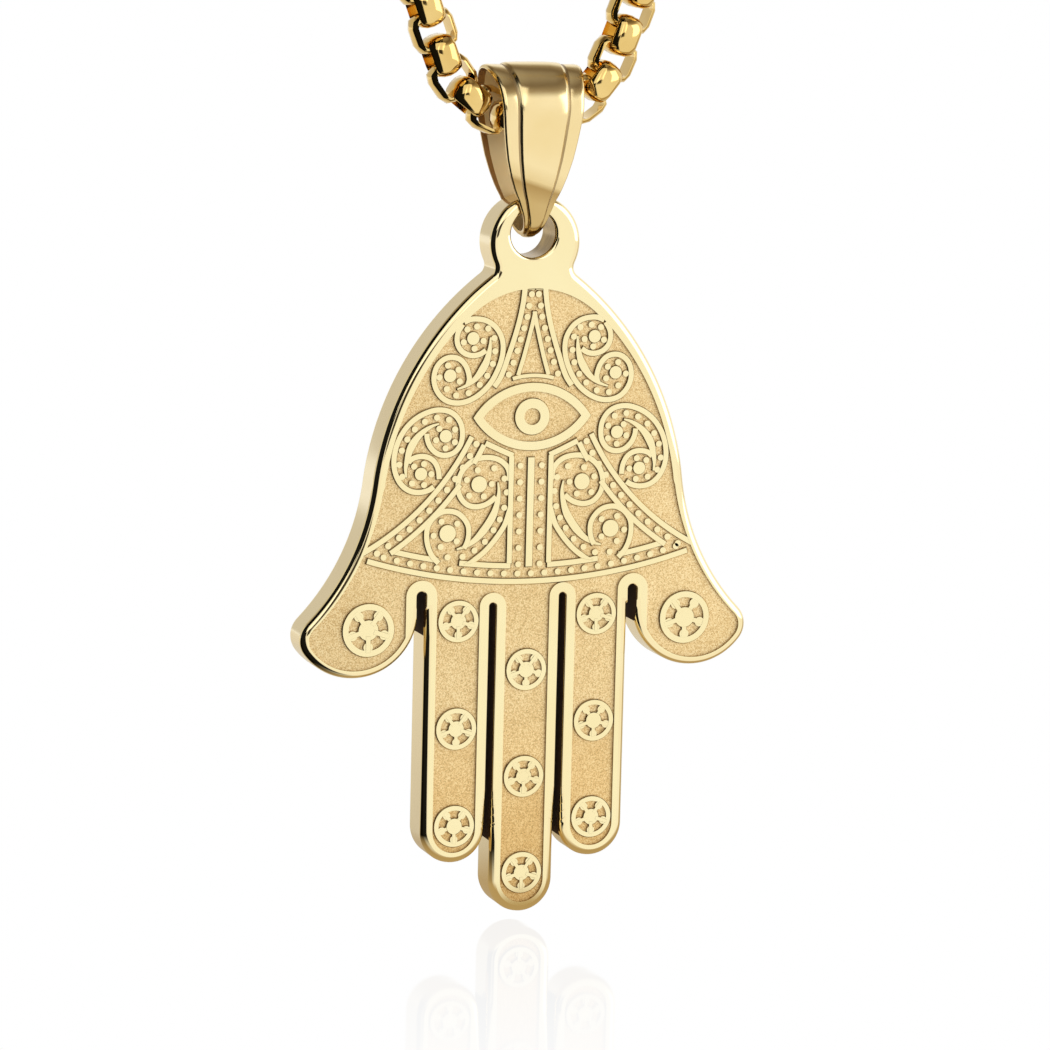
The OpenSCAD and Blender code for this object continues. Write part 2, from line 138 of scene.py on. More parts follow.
def drawn_face(points, y, name):
    """A flat face drawn round the given points of the hand's drawing."""
    deselect()
    bpy.ops.mesh.primitive_circle_add(vertices=len(points), radius=MM, fill_type="NGON")
    piece = bpy.context.active_object
    piece.name = name
    for vertex, p in zip(piece.data.vertices, points):
        vertex.co = front_point(p, y)
    return piece


def rounding(r, steps):
    """The insets, as (in, down) pairs, that turn a square edge into a quarter round of radius r."""
    marks = [pi / 2 * k / steps for k in range(steps + 1)]
    return [(r * (cos(a) - cos(b)), r * (sin(b) - sin(a))) for a, b in zip(marks, marks[1:])]


def prism(points, y_front, y_back, name, chamfer=0.0, back_chamfer=0.0, steps=1):
    """The drawing's outline as a solid between two depths, its front and back edges bevelled or rounded."""
    piece = drawn_face(points, y_back - back_chamfer, name)
    run = (y_front + chamfer - y_back + back_chamfer) * MM
    edit(piece)
    bpy.ops.mesh.select_all(action="SELECT")
    bpy.ops.mesh.extrude_region_move(TRANSFORM_OT_translate={"value": (0, run, 0)})
    bpy.ops.mesh.select_all(action="SELECT")
    bpy.ops.mesh.normals_make_consistent(inside=False)
    for side, width in ((-1, chamfer), (1, back_chamfer)):
        for step_in, step_down in rounding(width, steps) if width else ():
            pick(lambda f: f.normal.y * side > 0.9)
            bpy.ops.mesh.inset(thickness=step_in * MM, depth=step_down * MM)
    return done()


def join(pieces, name):
    deselect()
    for piece in pieces:
        piece.select_set(True)
    bpy.context.view_layer.objects.active = pieces[0]
    bpy.ops.object.join()
    whole = bpy.context.active_object
    whole.name = name
    return whole


def twin(piece, matrix):
    """A copy of a finished piece with its own mesh, moved by a matrix."""
    copy = piece.copy()
    copy.data = piece.data.copy()
    bpy.context.collection.objects.link(copy)
    copy.data.transform(matrix)
    if matrix.determinant() < 0:
        copy.data.flip_normals()
    return copy


def cut(piece, tool):
    """Takes the tool's shape out of the piece and throws the tool away."""
    deselect()
    piece.select_set(True)
    bpy.context.view_layer.objects.active = piece
    boolean = piece.modifiers.new("cut", "BOOLEAN")
    boolean.operation = "DIFFERENCE"
    boolean.solver = "EXACT"
    boolean.object = tool
    bpy.ops.object.modifier_apply(modifier=boolean.name)
    bpy.data.objects.remove(tool, do_unlink=True)
    return piece


def arc(c, r, a0, a1, steps):
    return [Vector(c) + r * heading(a0 + (a1 - a0) * i / steps) for i in range(steps + 1)]


def circle(c, r, sides):
    return arc(c, r, 0, 360 - 360 / sides, sides - 1)


def mirrored(points):
    return [Vector((-p[0], p[1])) for p in reversed(points)]


def smooth(points, steps=4):
    """A smooth curve through the given points."""
    p = [Vector(q) for q in points]
    p = [2 * p[0] - p[1]] + p + [2 * p[-1] - p[-2]]
    curve = []
    for a, b, c, d in zip(p, p[1:], p[2:], p[3:]):
        for k in range(steps):
            t = k / steps
            curve.append(0.5 * (
                2 * b + (c - a) * t + (2 * a - 5 * b + 4 * c - d) * t * t + (3 * b - a - 3 * c + d) * t ** 3
            ))
    return curve + [p[-2]]


# a tapered end's width, as a share of the line's
THIN_END = 0.3


def line_face(points, w, taper=(0, 0)):
    """The outline of a line through points, even in width but for its ends, tapered over so many points."""
    left, right = [], []
    last = len(points) - 1
    for i, p in enumerate(points):
        a = Vector(points[max(i - 1, 0)])
        b = Vector(points[min(i + 1, last)])
        d = (b - a).normalized()
        ends = ((i, taper[0]), (last - i, taper[1]))
        share = min([1.0] + [THIN_END + (1 - THIN_END) * min(1.0, gone / run) for gone, run in ends if run])
        n = Vector((-d.y, d.x)) * w / 2 * share
        left.append(Vector(p) + n)
        right.append(Vector(p) - n)
    return left + right[::-1]


# Finishes
def new_material(name):
    material = bpy.data.materials.new(name)
    material.use_nodes = True
    nodes, links = material.node_tree.nodes, material.node_tree.links
    shader = nodes["Principled BSDF"]
    coords = nodes.new("ShaderNodeTexCoord")
    return material, nodes, links, shader, coords


def ramp(nodes, links, source, stops):
    node = nodes.new("ShaderNodeValToRGB")
    while len(node.color_ramp.elements) < len(stops):
        node.color_ramp.elements.new(0.5)
    for element, (place, colour) in zip(node.color_ramp.elements, stops):
        element.position = place
        element.color = (*colour, 1)
    links.new(source, node.inputs["Fac"])
    return node.outputs["Color"]


def multiply(nodes, links, first, second):
    mix = nodes.new("ShaderNodeMix")
    mix.data_type = "RGBA"
    mix.blend_type = "MULTIPLY"
    mix.inputs[0].default_value = 1.0
    links.new(first, mix.inputs[6])
    links.new(second, mix.inputs[7])
    return mix.outputs[2]


def noise(nodes, links, coords, scale, detail=3.0, roughness=0.55):
    node = nodes.new("ShaderNodeTexNoise")
    node.inputs["Scale"].default_value = scale
    node.inputs["Detail"].default_value = detail
    node.inputs["Roughness"].default_value = roughness
    links.new(coords.outputs["Object"], node.inputs["Vector"])
    return node.outputs["Fac"]


def bump(nodes, links, height, shader, strength, distance):
    node = nodes.new("ShaderNodeBump")
    node.inputs["Strength"].default_value = strength
    node.inputs["Distance"].default_value = distance
    links.new(height, node.inputs["Height"])
    links.new(node.outputs["Normal"], shader.inputs["Normal"])


def surface_wear():
    """Faint smears of handling on polished metal: a value round 0.5 that changes over the surface."""
    group = bpy.data.node_groups.new("surface wear", "ShaderNodeTree")
    group.interface.new_socket("Vector", in_out="INPUT", socket_type="NodeSocketVector")
    size = group.interface.new_socket("Size", in_out="INPUT", socket_type="NodeSocketFloat")
    size.default_value = 150
    group.interface.new_socket("Wear", in_out="OUTPUT", socket_type="NodeSocketFloat")
    start = group.nodes.new("NodeGroupInput")
    end = group.nodes.new("NodeGroupOutput")
    smear = group.nodes.new("ShaderNodeTexNoise")
    smear.inputs["Detail"].default_value = 4
    smear.inputs["Distortion"].default_value = 0.6
    group.links.new(start.outputs["Vector"], smear.inputs["Vector"])
    group.links.new(start.outputs["Size"], smear.inputs["Scale"])
    group.links.new(smear.outputs["Fac"], end.inputs["Wear"])
    return group


WEAR = surface_wear()


def worn(nodes, links, coords, size):
    node = nodes.new("ShaderNodeGroup")
    node.node_tree = WEAR
    node.inputs["Size"].default_value = size
    links.new(coords.outputs["Object"], node.inputs["Vector"])
    return node.outputs["Wear"]


def polished_gold(name, low, high, rough, size=120):
    """Polished gold plating whose tone drifts a little from place to place."""
    material, nodes, links, shader, coords = new_material(name)
    wear = worn(nodes, links, coords, size)
    links.new(ramp(nodes, links, wear, [(0.3, low), (0.7, high)]), shader.inputs["Base Color"])
    gloss = ramp(nodes, links, wear, [(0.3, (rough[0],) * 3), (0.7, (rough[1],) * 3)])
    links.new(gloss, shader.inputs["Roughness"])
    shader.inputs["Metallic"].default_value = 1.0
    return material


def paint_dark_reflection_on_foot(material):
    """A painted dark reflection on the bail's narrow foot: a browner patch below a slanting border."""
    nodes, links = material.node_tree.nodes, material.node_tree.links
    shader = nodes["Principled BSDF"]
    clean = shader.inputs["Base Color"].links[0].from_socket
    coords = nodes.new("ShaderNodeTexCoord")
    split = nodes.new("ShaderNodeSeparateXYZ")
    links.new(coords.outputs["Object"], split.inputs[0])
    slant = nodes.new("ShaderNodeMath")
    slant.operation = "MULTIPLY_ADD"
    slant.inputs[1].default_value = 0.32
    links.new(split.outputs["X"], slant.inputs[0])
    links.new(split.outputs["Z"], slant.inputs[2])
    height = nodes.new("ShaderNodeMapRange")
    height.inputs["From Min"].default_value = (EYE_Z + 14.4) * MM
    height.inputs["From Max"].default_value = (EYE_Z + 16.9) * MM
    links.new(slant.outputs[0], height.inputs["Value"])
    brown = ramp(nodes, links, height.outputs["Result"], [
        (0.0, (0.66, 0.58, 0.44)), (0.38, (0.52, 0.42, 0.28)), (0.44, (0.50, 0.40, 0.26)),
        (0.6, (0.88, 0.84, 0.76)), (1.0, (1, 1, 1)),
    ])
    links.new(multiply(nodes, links, clean, brown), shader.inputs["Base Color"])


def sandy_gold(name):
    """The sunk ground: a fine frosted grain, browner toward the fingers' ends."""
    material, nodes, links, shader, coords = new_material(name)
    grain = noise(nodes, links, coords, 12500, 2, 0.6)
    drift = noise(nodes, links, coords, 420, 3, 0.5)
    fine = ramp(nodes, links, grain, [
        (0.32, (0.64, 0.45, 0.20)), (0.5, (0.90, 0.67, 0.33)), (0.66, (1.0, 0.83, 0.49)),
    ])
    broad = ramp(nodes, links, drift, [(0.35, (0.94, 0.92, 0.88)), (0.65, (1.0, 1.0, 1.0))])
    split = nodes.new("ShaderNodeSeparateXYZ")
    links.new(coords.outputs["Object"], split.inputs[0])
    depth = nodes.new("ShaderNodeMapRange")
    depth.inputs["From Min"].default_value = (EYE_Z - 19) * MM
    depth.inputs["From Max"].default_value = (EYE_Z - 30) * MM
    links.new(split.outputs["Z"], depth.inputs["Value"])
    ends = ramp(nodes, links, depth.outputs["Result"], [
        (0.0, (1, 1, 1)), (0.55, (1.0, 0.95, 0.86)), (1.0, (0.97, 0.89, 0.74)),
    ])
    toned = multiply(nodes, links, multiply(nodes, links, fine, broad), ends)
    links.new(toned, shader.inputs["Base Color"])
    frost = ramp(nodes, links, grain, [(0.3, (0.62,) * 3), (0.7, (0.45,) * 3)])
    links.new(frost, shader.inputs["Roughness"])
    bump(nodes, links, grain, shader, 0.3, 0.00003)
    shader.inputs["Metallic"].default_value = 0.85
    return material


FACE_GOLD = polished_gold("polished face gold", (0.96, 0.82, 0.455), (0.98, 0.86, 0.50), (0.10, 0.15))
GROUND_GOLD = sandy_gold("frosted ground gold")
# the walls of the step down to the sunk ground: dark gold, painted shade
SHADED_STEP_GOLD = polished_gold("step gold with painted shade", (0.34, 0.23, 0.09), (0.44, 0.31, 0.14), (0.3, 0.45), 400)
# the raised work's upright walls: dark gold, painted shade along them
SHADED_WALL_GOLD = polished_gold(
    "raised work's walls with painted shade", (0.24, 0.16, 0.06), (0.34, 0.23, 0.10), (0.35, 0.5), 400
)
# the bevels round the raised work's tops: dark gold, a thin line of painted shade
SHADE_LINE_GOLD = polished_gold(
    "raised work's edge with a painted shade line", (0.46, 0.32, 0.13), (0.60, 0.44, 0.20), (0.25, 0.35), 400
)
BEVEL_GOLD = polished_gold("rounded edge gold", (0.94, 0.77, 0.42), (0.97, 0.83, 0.49), (0.03, 0.06))
SIDE_GOLD = polished_gold("brushed side gold", (0.89, 0.745, 0.45), (0.94, 0.805, 0.52), (0.12, 0.2), 90)
# the slots: near black, dull and not metallic, painted shade in the narrow gaps
SHADED_SLOT_GOLD = polished_gold("slot gold with painted shade", (0.05, 0.025, 0.012), (0.09, 0.048, 0.022), (0.7, 0.9), 300)
slot_shade_shader = SHADED_SLOT_GOLD.node_tree.nodes["Principled BSDF"]
slot_shade_shader.inputs["Metallic"].default_value = 0.0
slot_shade_shader.inputs["Specular IOR Level"].default_value = 0.1
# the hole's wall: dark brown gold, painted shade inside the hole
SHADED_HOLE_GOLD = polished_gold("hole gold with painted shade", (0.25, 0.165, 0.065), (0.55, 0.395, 0.17), (0.2, 0.35), 900)
BAIL_GOLD = polished_gold("bail gold", (0.90, 0.70, 0.34), (0.95, 0.77, 0.42), (0.13, 0.19), 200)
paint_dark_reflection_on_foot(BAIL_GOLD)
# the bail's grooves: dark gold, painted shade in them
SHADED_GROOVE_GOLD = polished_gold("groove gold with painted shade", (0.40, 0.28, 0.13), (0.52, 0.38, 0.19), (0.3, 0.45), 400)
# the inside of the bail: pale and barely metallic, painted light where it would mirror the dark strap in
# front
LIT_INNER_GOLD = polished_gold(
    "bail's inside with painted light", (0.97, 0.77, 0.43), (1.0, 0.86, 0.54), (0.35, 0.5), 300
)
LIT_INNER_GOLD.node_tree.nodes["Principled BSDF"].inputs["Metallic"].default_value = 0.2
# the bail's inner rims: dark brown gold, painted shade along the strap's edges
SHADED_RIM_GOLD = polished_gold(
    "bail's inner rims with painted shade", (0.34, 0.19, 0.08), (0.44, 0.26, 0.11), (0.3, 0.45), 400
)
CHAIN_GOLD = polished_gold("chain gold", (0.77, 0.525, 0.17), (0.88, 0.645, 0.25), (0.06, 0.11), 260)
CLASP_GOLD = polished_gold("clasp gold", (0.82, 0.57, 0.20), (0.90, 0.66, 0.27), (0.08, 0.14), 200)


# The hand: one slab with a rounded edge, then its hole, slots and sunk ground
def angle_of(v):
    return degrees(atan2(v.y, v.x))


def meeting(c0, r0, c1, r1):
    """The point on the right that lies r0 from c0 and r1 from c1."""
    across = c1 - c0
    along = (across.length ** 2 + r0 ** 2 - r1 ** 2) / (2 * across.length)
    n = across.normalized()
    side = sqrt(r0 ** 2 - along ** 2) * Vector((-n.y, n.x))
    return max((c0 + along * n + side, c0 + along * n - side), key=lambda p: p.x)


def hand_outline():
    lobe = Vector((0, LOBE_Z))
    neck = meeting(lobe, LOBE_R + NECK_FILLET, SHOULDER, SHOULDER_R + NECK_FILLET)
    from_lobe, from_shoulder = angle_of(neck - lobe), angle_of(neck - SHOULDER)
    right = arc(lobe, LOBE_R, 90, from_lobe, 24)
    right += arc(neck, NECK_FILLET, from_lobe + 180, from_shoulder + 180, 8)[1:]
    right += arc(SHOULDER, SHOULDER_R, from_shoulder, TO_FLANK, 40)[1:]
    right += arc(FLANK, FLANK_R, TO_FLANK + 180, TO_TIP, 26)[1:]
    right += arc(TIP, TIP_R, TO_TIP - 180, TO_THUMB, 14)[1:]
    right += arc(THUMB, THUMB_R, TO_THUMB, -180, 34)[1:]
    right += [Vector((BLOCK_HALF_W, THUMB.y)), Vector((BLOCK_HALF_W, THUMB_SHADE_END))]
    right += arc((FINGER_X, -FINGER_DROP), FINGER_W / 2, 0, -180, 32)
    right += [Vector((FINGER_W / 2 + 0.1, -FINGER_DROP)), Vector((FINGER_W / 2, -FINGER_DROP))]
    right += [Vector((FINGER_W / 2, SLOT_SHADE_END))]
    right += arc((0, -MIDDLE_DROP), FINGER_W / 2, 0, -90, 16)
    return right + mirrored(right[1:-1])


SLOT_X, THUMB_SLOT_X = (FINGER_W + SLOT_W) / 2, BLOCK_HALF_W + THUMB_SLOT_W / 2
# each slot's middle, top, width and the end of its painted shade
SLOTS = (
    (-SLOT_X, SLOT_TOPS[-1], SLOT_W, SLOT_SHADE_END),
    (SLOT_X, SLOT_TOPS[1], SLOT_W, SLOT_SHADE_END),
    (-THUMB_SLOT_X, THUMB_SLOT_TOP, THUMB_SLOT_W, THUMB_SHADE_END),
    (THUMB_SLOT_X, THUMB_SLOT_TOP, THUMB_SLOT_W, THUMB_SHADE_END),
)
# towards the fingertips an inner slot's edges grow as round as the hand's own: how round, from how far up
MOUTH = ((0.18, 2.6), (0.25, 2.0), (0.32, 1.4), (0.38, 0.8), (EDGE_ROUND, 0.2))
# a mouth's cutter reaches this far below the fingers' end circles, and stays this clear of the slot's walls
MOUTH_FOOT, MOUTH_ROOM = 3, 0.005
# the cutters of the slots end this far below the fingers' end circles
SLOT_RUN = 8
# the ground's top arc ends where its height is this share of its radius, and the shoulder's arc takes over
TOP_ARC_END = 0.71


def slot_outline(x, top, w, shade_end):
    foot = -FINGER_DROP - SLOT_RUN
    walls = [(x - w / 2, shade_end), (x - w / 2, foot), (x + w / 2, foot), (x + w / 2, shade_end)]
    return arc((x, top - w / 2), w / 2, 0, 180, 16) + [Vector(p) for p in walls]


def recess_outline():
    """The sunk ground's outline: the hand's own, drawn in by the polished borders, and round the slots."""
    c = SHOULDER + Vector((SHOULDER_BORDER, 0))
    r = SHOULDER_R - 2 * SHOULDER_BORDER
    top_c = Vector((0, RECESS_TOP - RECESS_TOP_R))
    meet = degrees(asin((top_c.y + TOP_ARC_END * RECESS_TOP_R - c.y) / r))
    slot_r = THUMB_SLOT_W / 2 + THUMB_SLOT_BORDER
    thumb_slot = Vector((THUMB_SLOT_X, THUMB_SLOT_TOP - THUMB_SLOT_W / 2))
    inner_r = SLOT_W / 2 + SLOT_BORDER
    thumb_r = THUMB_R - THUMB_BORDER
    thumb_stop = -180 + degrees(acos((THUMB.x - thumb_slot.x - slot_r) / thumb_r))
    halves = []
    for side in (1, -1):
        half = arc(top_c, RECESS_TOP_R, 90, degrees(asin(TOP_ARC_END)), 16)
        half += arc(c, r, meet, TO_FLANK, 30)
        for i in range(1, 27):
            border = FLANK_BORDER + (THUMB_BORDER - FLANK_BORDER) * i / 26
            along = TO_FLANK + 180 + (TO_TIP - TO_FLANK - 180) * i / 26
            half.append(FLANK + (FLANK_R + border) * heading(along))
        half += arc(TIP, TIP_R - THUMB_BORDER, TO_TIP - 180, TO_THUMB, 12)[1:]
        half += arc(THUMB, thumb_r, TO_THUMB, thumb_stop, 26)[1:]
        half += arc(thumb_slot, slot_r, 0, 180, 18)
        outer, inner = thumb_slot.x - slot_r, SLOT_X + inner_r
        half += arc(((outer + inner) / 2, -FINGER_DROP), (outer - inner) / 2, 0, -180, 24)
        half += arc((SLOT_X, SLOT_TOPS[side] - SLOT_W / 2), inner_r, 0, 180, 18)
        half += arc((0, -MIDDLE_DROP), SLOT_X - inner_r, 0, -90, 12)
        halves.append(half)
    return halves[0] + mirrored(halves[1][1:-1])


def mouth_outline(x, r, reach):
    half_w = SLOT_W / 2 + r - MOUTH_ROOM
    top, foot = reach + r - FINGER_DROP, -MOUTH_FOOT - FINGER_DROP
    left, right = x - half_w, x + half_w
    return [Vector(p) for p in ((right, foot), (right, top), (left, top), (left, foot))]


def hand_slab():
    slab = prism(hand_outline(), FRONT, -FRONT, "hand", EDGE_ROUND, EDGE_ROUND, 4)
    hole = circle((HANG_X, HOLE_Z), HOLE_R + HOLE_ROUND, 48)
    cut(slab, flared_cutter(hole, HOLE_ROUND, "hole"))
    for x, top, w, shade_end in SLOTS:
        outline = slot_outline(x, top + SLOT_ROUND, w + 2 * SLOT_ROUND, shade_end)
        cut(slab, flared_cutter(outline, SLOT_ROUND, "slot"))
    for x in (-SLOT_X, SLOT_X):
        for r, reach in MOUTH:
            cut(slab, flared_cutter(mouth_outline(x, r, reach), r, "mouth"))
    cut(slab, prism(recess_outline(), FRONT - 1, FLOOR, "ground"))
    return slab


def flared_cutter(points, r, name):
    """A cutter that narrows from the given outline by a quarter round at both faces of the plate."""
    half = prism(points, FRONT - 1, FRONT, name)
    edit(half)
    pick(lambda f: f.normal.y > 0.9)
    for step_in, step_down in reversed(rounding(r, 4)):
        bpy.ops.mesh.inset(thickness=step_in * MM, depth=step_down * MM)
    bpy.ops.mesh.extrude_region_move(TRANSFORM_OT_translate={"value": (0, (-FRONT - r) * MM, 0)})
    bpy.ops.mesh.delete(type="FACE")
    half = done()
    edit(join([half, twin(half, Matrix.Diagonal((1, -1, 1, 1)))], name))
    bpy.ops.mesh.select_all(action="SELECT")
    bpy.ops.mesh.remove_doubles(threshold=1e-7)
    bpy.ops.mesh.normals_make_consistent(inside=False)
    return done()


# Raised work: lines, rings and beads that stand on the sunk ground
# how far they are let into it, and the bevel round their tops
SUNK, CHAMFER = 0.06, 0.045
# the step between the tops of pieces that cross, so that no two share a plane, and how many steps there are
LEVEL, LEVEL_COUNT = 0.0015, 12
LEVELS = [0]


def raised(points, name="line", level=0):
    """One raised piece, its top on the next level unless it is given one."""
    if not level:
        LEVELS[0] = LEVELS[0] % LEVEL_COUNT + 1
        level = LEVELS[0]
    return prism(points, FRONT + LEVEL * level, FLOOR + SUNK, name, CHAMFER)


def line(points, w=LINE_W):
    return raised(line_face(points, w))


def stroke(points, taper=(0, 0), w=LINE_W):
    return raised(line_face(smooth(points), w, taper))


def disc(c, r, sides=28, name="knob"):
    return raised(circle(c, r, sides), name)


def ring(c, r_out, r_in, sides=40):
    return cut(disc(c, r_out, sides), prism(circle(c, r_in, sides), FRONT - 1, FLOOR + 1, "hole"))


def bead_rows(places):
    """One bead of radius 1, modelled once, set at every (x, z, radius), on a level of its own."""
    bead = raised(circle((0, 0), 1.0, 18), "bead", LEVEL_COUNT + 1)
    beads = []
    home = Matrix.Translation((0, 0, -EYE_Z * MM))
    for x, z, r in places:
        size = Matrix.Diagonal((r, 1, r, 1))
        away = Matrix.Translation((x * MM, 0, (EYE_Z + z) * MM))
        beads.append(twin(bead, away @ size @ home))
    bpy.data.objects.remove(bead, do_unlink=True)
    return beads


def on_ring(c, r, bead_r, angles):
    return [(c[0] + r * cos(radians(a)), c[1] + r * sin(radians(a)), bead_r) for a in angles]


def both_sides(pieces):
    """The pieces and their mirror twins, half a level deeper."""
    flip = Matrix.Translation((0, LEVEL / 2 * MM, 0)) @ Matrix.Diagonal((-1, 1, 1, 1))
    return pieces + [twin(piece, flip) for piece in pieces]


def almond(half_w, half_h, steps=24):
    r = (half_w ** 2 + half_h ** 2) / (2 * half_h)
    spread = degrees(asin(half_w / r))
    top = arc((0, half_h - r), r, 90 + spread, 90 - spread, steps)
    low = arc((0, r - half_h), r, -90 + spread, -90 - spread, steps)
    return top[:-1] + low[:-1]


# How the ends of a scroll's strokes thin out: over how many points at the start and at the end
EVEN, CRESCENT, POINTED = (0, 0), (13, 13), (5, 5)
# Strokes of the three scrolls on the right half, measured along their middle lines
SCROLL_STROKES = (
    # upper scroll: back and lower head, inner line, upper head
    (((5.05, 6.5), (4.5, 6.7), (3.95, 6.7), (3.4, 6.57), (2.85, 6.22), (2.45, 5.7), (2.25, 5.15),
      (2.22, 4.5), (2.35, 3.8), (2.6, 3.15), (2.95, 2.5), (3.4, 1.95), (3.95, 1.5), (4.6, 1.17),
      (5.3, 1.04), (6.0, 1.15), (6.55, 1.5), (6.95, 2.1), (7.08, 2.8), (6.9, 3.5), (6.45, 3.98),
      (5.9, 4.15), (5.3, 4.02), (4.87, 3.6), (4.65, 3.1), (4.57, 2.62), (4.68, 2.2)), EVEN),
    (((3.12, 5.5), (3.14, 4.9), (3.22, 4.35), (3.42, 3.7), (3.77, 3.1), (4.2, 2.6), (4.75, 2.22),
      (5.45, 1.96)), CRESCENT),
    (((5.1, 6.4), (5.42, 5.85), (5.5, 5.3), (5.35, 4.8), (4.97, 4.42), (4.4, 4.24), (3.85, 4.32),
      (3.4, 4.6)), EVEN),
    # side scroll: upper head and back, inner line, lower head
    (((7.5, -0.95), (7.45, -1.4), (7.2, -1.95), (6.7, -2.38), (6.1, -2.5), (5.5, -2.3), (5.1, -1.8),
      (4.97, -1.2), (5.05, -0.5), (5.4, 0.1), (5.95, 0.48), (6.7, 0.6), (7.4, 0.47), (8.2, 0.1),
      (8.9, -0.5), (9.4, -1.25), (9.7, -2.1), (9.78, -3.0), (9.6, -3.8), (9.2, -4.45), (8.6, -4.87),
      (7.9, -4.98), (7.3, -4.85), (6.9, -4.6)), EVEN),
    (((6.6, -0.32), (7.2, -0.52), (7.8, -0.9), (8.32, -1.45), (8.68, -2.1), (8.86, -2.8), (8.95, -3.4),
      (8.88, -3.98)), CRESCENT),
    (((6.55, -4.15), (6.63, -3.5), (6.9, -2.95), (7.35, -2.62), (7.9, -2.53), (8.45, -2.66),
      (8.8, -2.95)), EVEN),
    # skirt scroll: upper head, inner line, lower head, back
    (((1.5, -4.4), (1.62, -3.6), (2.05, -3.07), (2.6, -2.8), (3.3, -2.72), (3.95, -2.83), (4.5, -3.15),
      (4.95, -3.65), (5.18, -4.3), (5.18, -4.95), (4.95, -5.5), (4.5, -5.93), (3.9, -6.08), (3.3, -5.98),
      (2.85, -5.75), (2.45, -5.4)), EVEN),
    (((2.36, -4.4), (2.27, -5.1), (2.36, -5.8), (2.6, -6.6), (3.0, -7.3), (3.5, -7.95), (4.05, -8.47),
      (4.65, -8.8), (5.25, -8.97)), CRESCENT),
    (((4.72, -8.95), (4.5, -8.55), (4.38, -8.0), (4.42, -7.4), (4.7, -6.9), (5.15, -6.5), (5.7, -6.33),
      (6.3, -6.37), (6.88, -6.72), (7.28, -7.3), (7.37, -8.0), (7.25, -8.7), (6.95, -9.35),
      (6.45, -9.9)), EVEN),
    (((1.45, -5.45), (1.52, -6.4), (1.78, -7.3), (2.2, -8.0), (2.75, -8.7), (3.35, -9.3), (4.0, -9.75),
      (4.7, -10.0)), POINTED),
)
SCROLL_KNOBS = (
    (4.35, 5.4, 0.48), (5.93, 2.9, 0.48), (6.15, -1.2, 0.48), (7.85, -3.73, 0.48), (3.7, -4.55, 0.6),
    (5.87, -7.85, 0.63),
)
SCROLL_BEADS = [(x, z, BEAD_R) for x, z in (
    # upper scroll's band, then its heads
    (3.3, 6.05), (2.85, 5.4), (2.77, 4.5), (2.92, 3.65), (3.3, 2.85), (3.82, 2.25), (4.6, 1.7),
    (5.48, 1.56), (4.1, 6.2), (3.62, 5.22), (4.25, 4.7), (5.02, 5.15), (4.78, 6.02), (6.1, 3.6),
    (5.35, 3.3), (5.25, 2.5), (6.68, 2.8), (6.15, 2.0),
    # side scroll
    (5.95, -0.08), (6.8, 0.08), (7.65, -0.18), (8.35, -0.68), (8.87, -1.35), (9.24, -2.1), (9.4, -3.05),
    (9.17, -3.88), (5.5, -0.75), (6.62, -0.68), (6.83, -1.45), (6.15, -2.02), (5.5, -1.62), (7.65, -3.05),
    (8.35, -3.2), (7.12, -3.75), (7.62, -4.48), (8.48, -4.35),
    # skirt scroll
    (1.9, -4.2), (1.72, -5.15), (1.87, -6.2), (2.17, -7.0), (2.6, -7.72), (3.2, -8.5), (3.93, -9.08),
    (4.78, -9.48), (5.85, -9.48), (2.65, -3.47), (3.82, -3.57), (4.58, -4.22), (4.4, -5.3), (3.35, -5.38),
    (2.8, -4.55), (5.2, -7.2), (6.32, -7.02), (6.87, -7.97), (6.35, -8.75), (5.22, -8.4),
)]


def rosette(c, r):
    """A ring, a knob, and five short spokes with beads that bridge the gap between them."""
    turns = [-90 + 72 * k for k in range(5)]
    c = Vector(c)
    spokes = [line([c + 0.2 * r * heading(a), c + 0.85 * r * heading(a)], 0.22 * r) for a in turns]
    return [ring(c, r, 0.755 * r), disc(c, 0.40 * r, 20)] + spokes, on_ring(c, 0.63 * r, 0.19 * r, turns)


# The drawing's circles: the skirt's hem, and its curved sash with the lines beside its row of beads
HEM_C, HEM_R, HEM_BEAD_R, HEM_FOOT_R = (0, 27.4), 37.64, 38.18, 38.72
SASH_C, SASH_OUT_R, SASH_BEAD_R, SASH_IN_R = (20, 6.5), 17.53, 18.05, 18.57
# the spire: its gable's and its top's line, and the line over the eye's lid with its distance from it
GABLE_W, FINE_W, LID_LINE_W, LID_GAP = 0.38, 0.14, 0.34, 0.46
SPIRE_LINE = (
    (0.74, 8.8), (0.84, 7.8), (1.05, 6.7), (1.3, 5.75), (1.58, 4.85), (1.85, 4.05), (2.1, 3.3),
    (2.4, 2.62), (2.8, 2.05),
)
SPIRE_BEADS = (
    (0.42, 7.55), (0.53, 6.8), (0.74, 6.03), (0.97, 5.27), (1.19, 4.5), (1.45, 3.7), (1.76, 2.9),
    (0.25, 8.33),
)
ROSETTES = (
    [((-11.35, -14.3), THUMB_ROSETTE_R), ((11.5, -14.25), THUMB_ROSETTE_R)]
    + [((-4.96, z), ROSETTE_R) for z in (-13.93, -21.39, -28.18)]
    + [((5.0, z), ROSETTE_R) for z in (-13.76, -21.23, -28.02)]
    + [((0, z), ROSETTE_R) for z in (-17.46, -24.93, -31.69)]
)


def eye():
    rim = raised(almond(EYE_HALF_W, EYE_HALF_H), "eye")
    opening = almond(EYE_HALF_W - 1.2 * EYE_RIM, EYE_HALF_H - EYE_RIM)
    return [cut(rim, prism(opening, FRONT - 1, FLOOR + 1, "eye opening")), ring((0, 0), IRIS_R, PUPIL_R)]


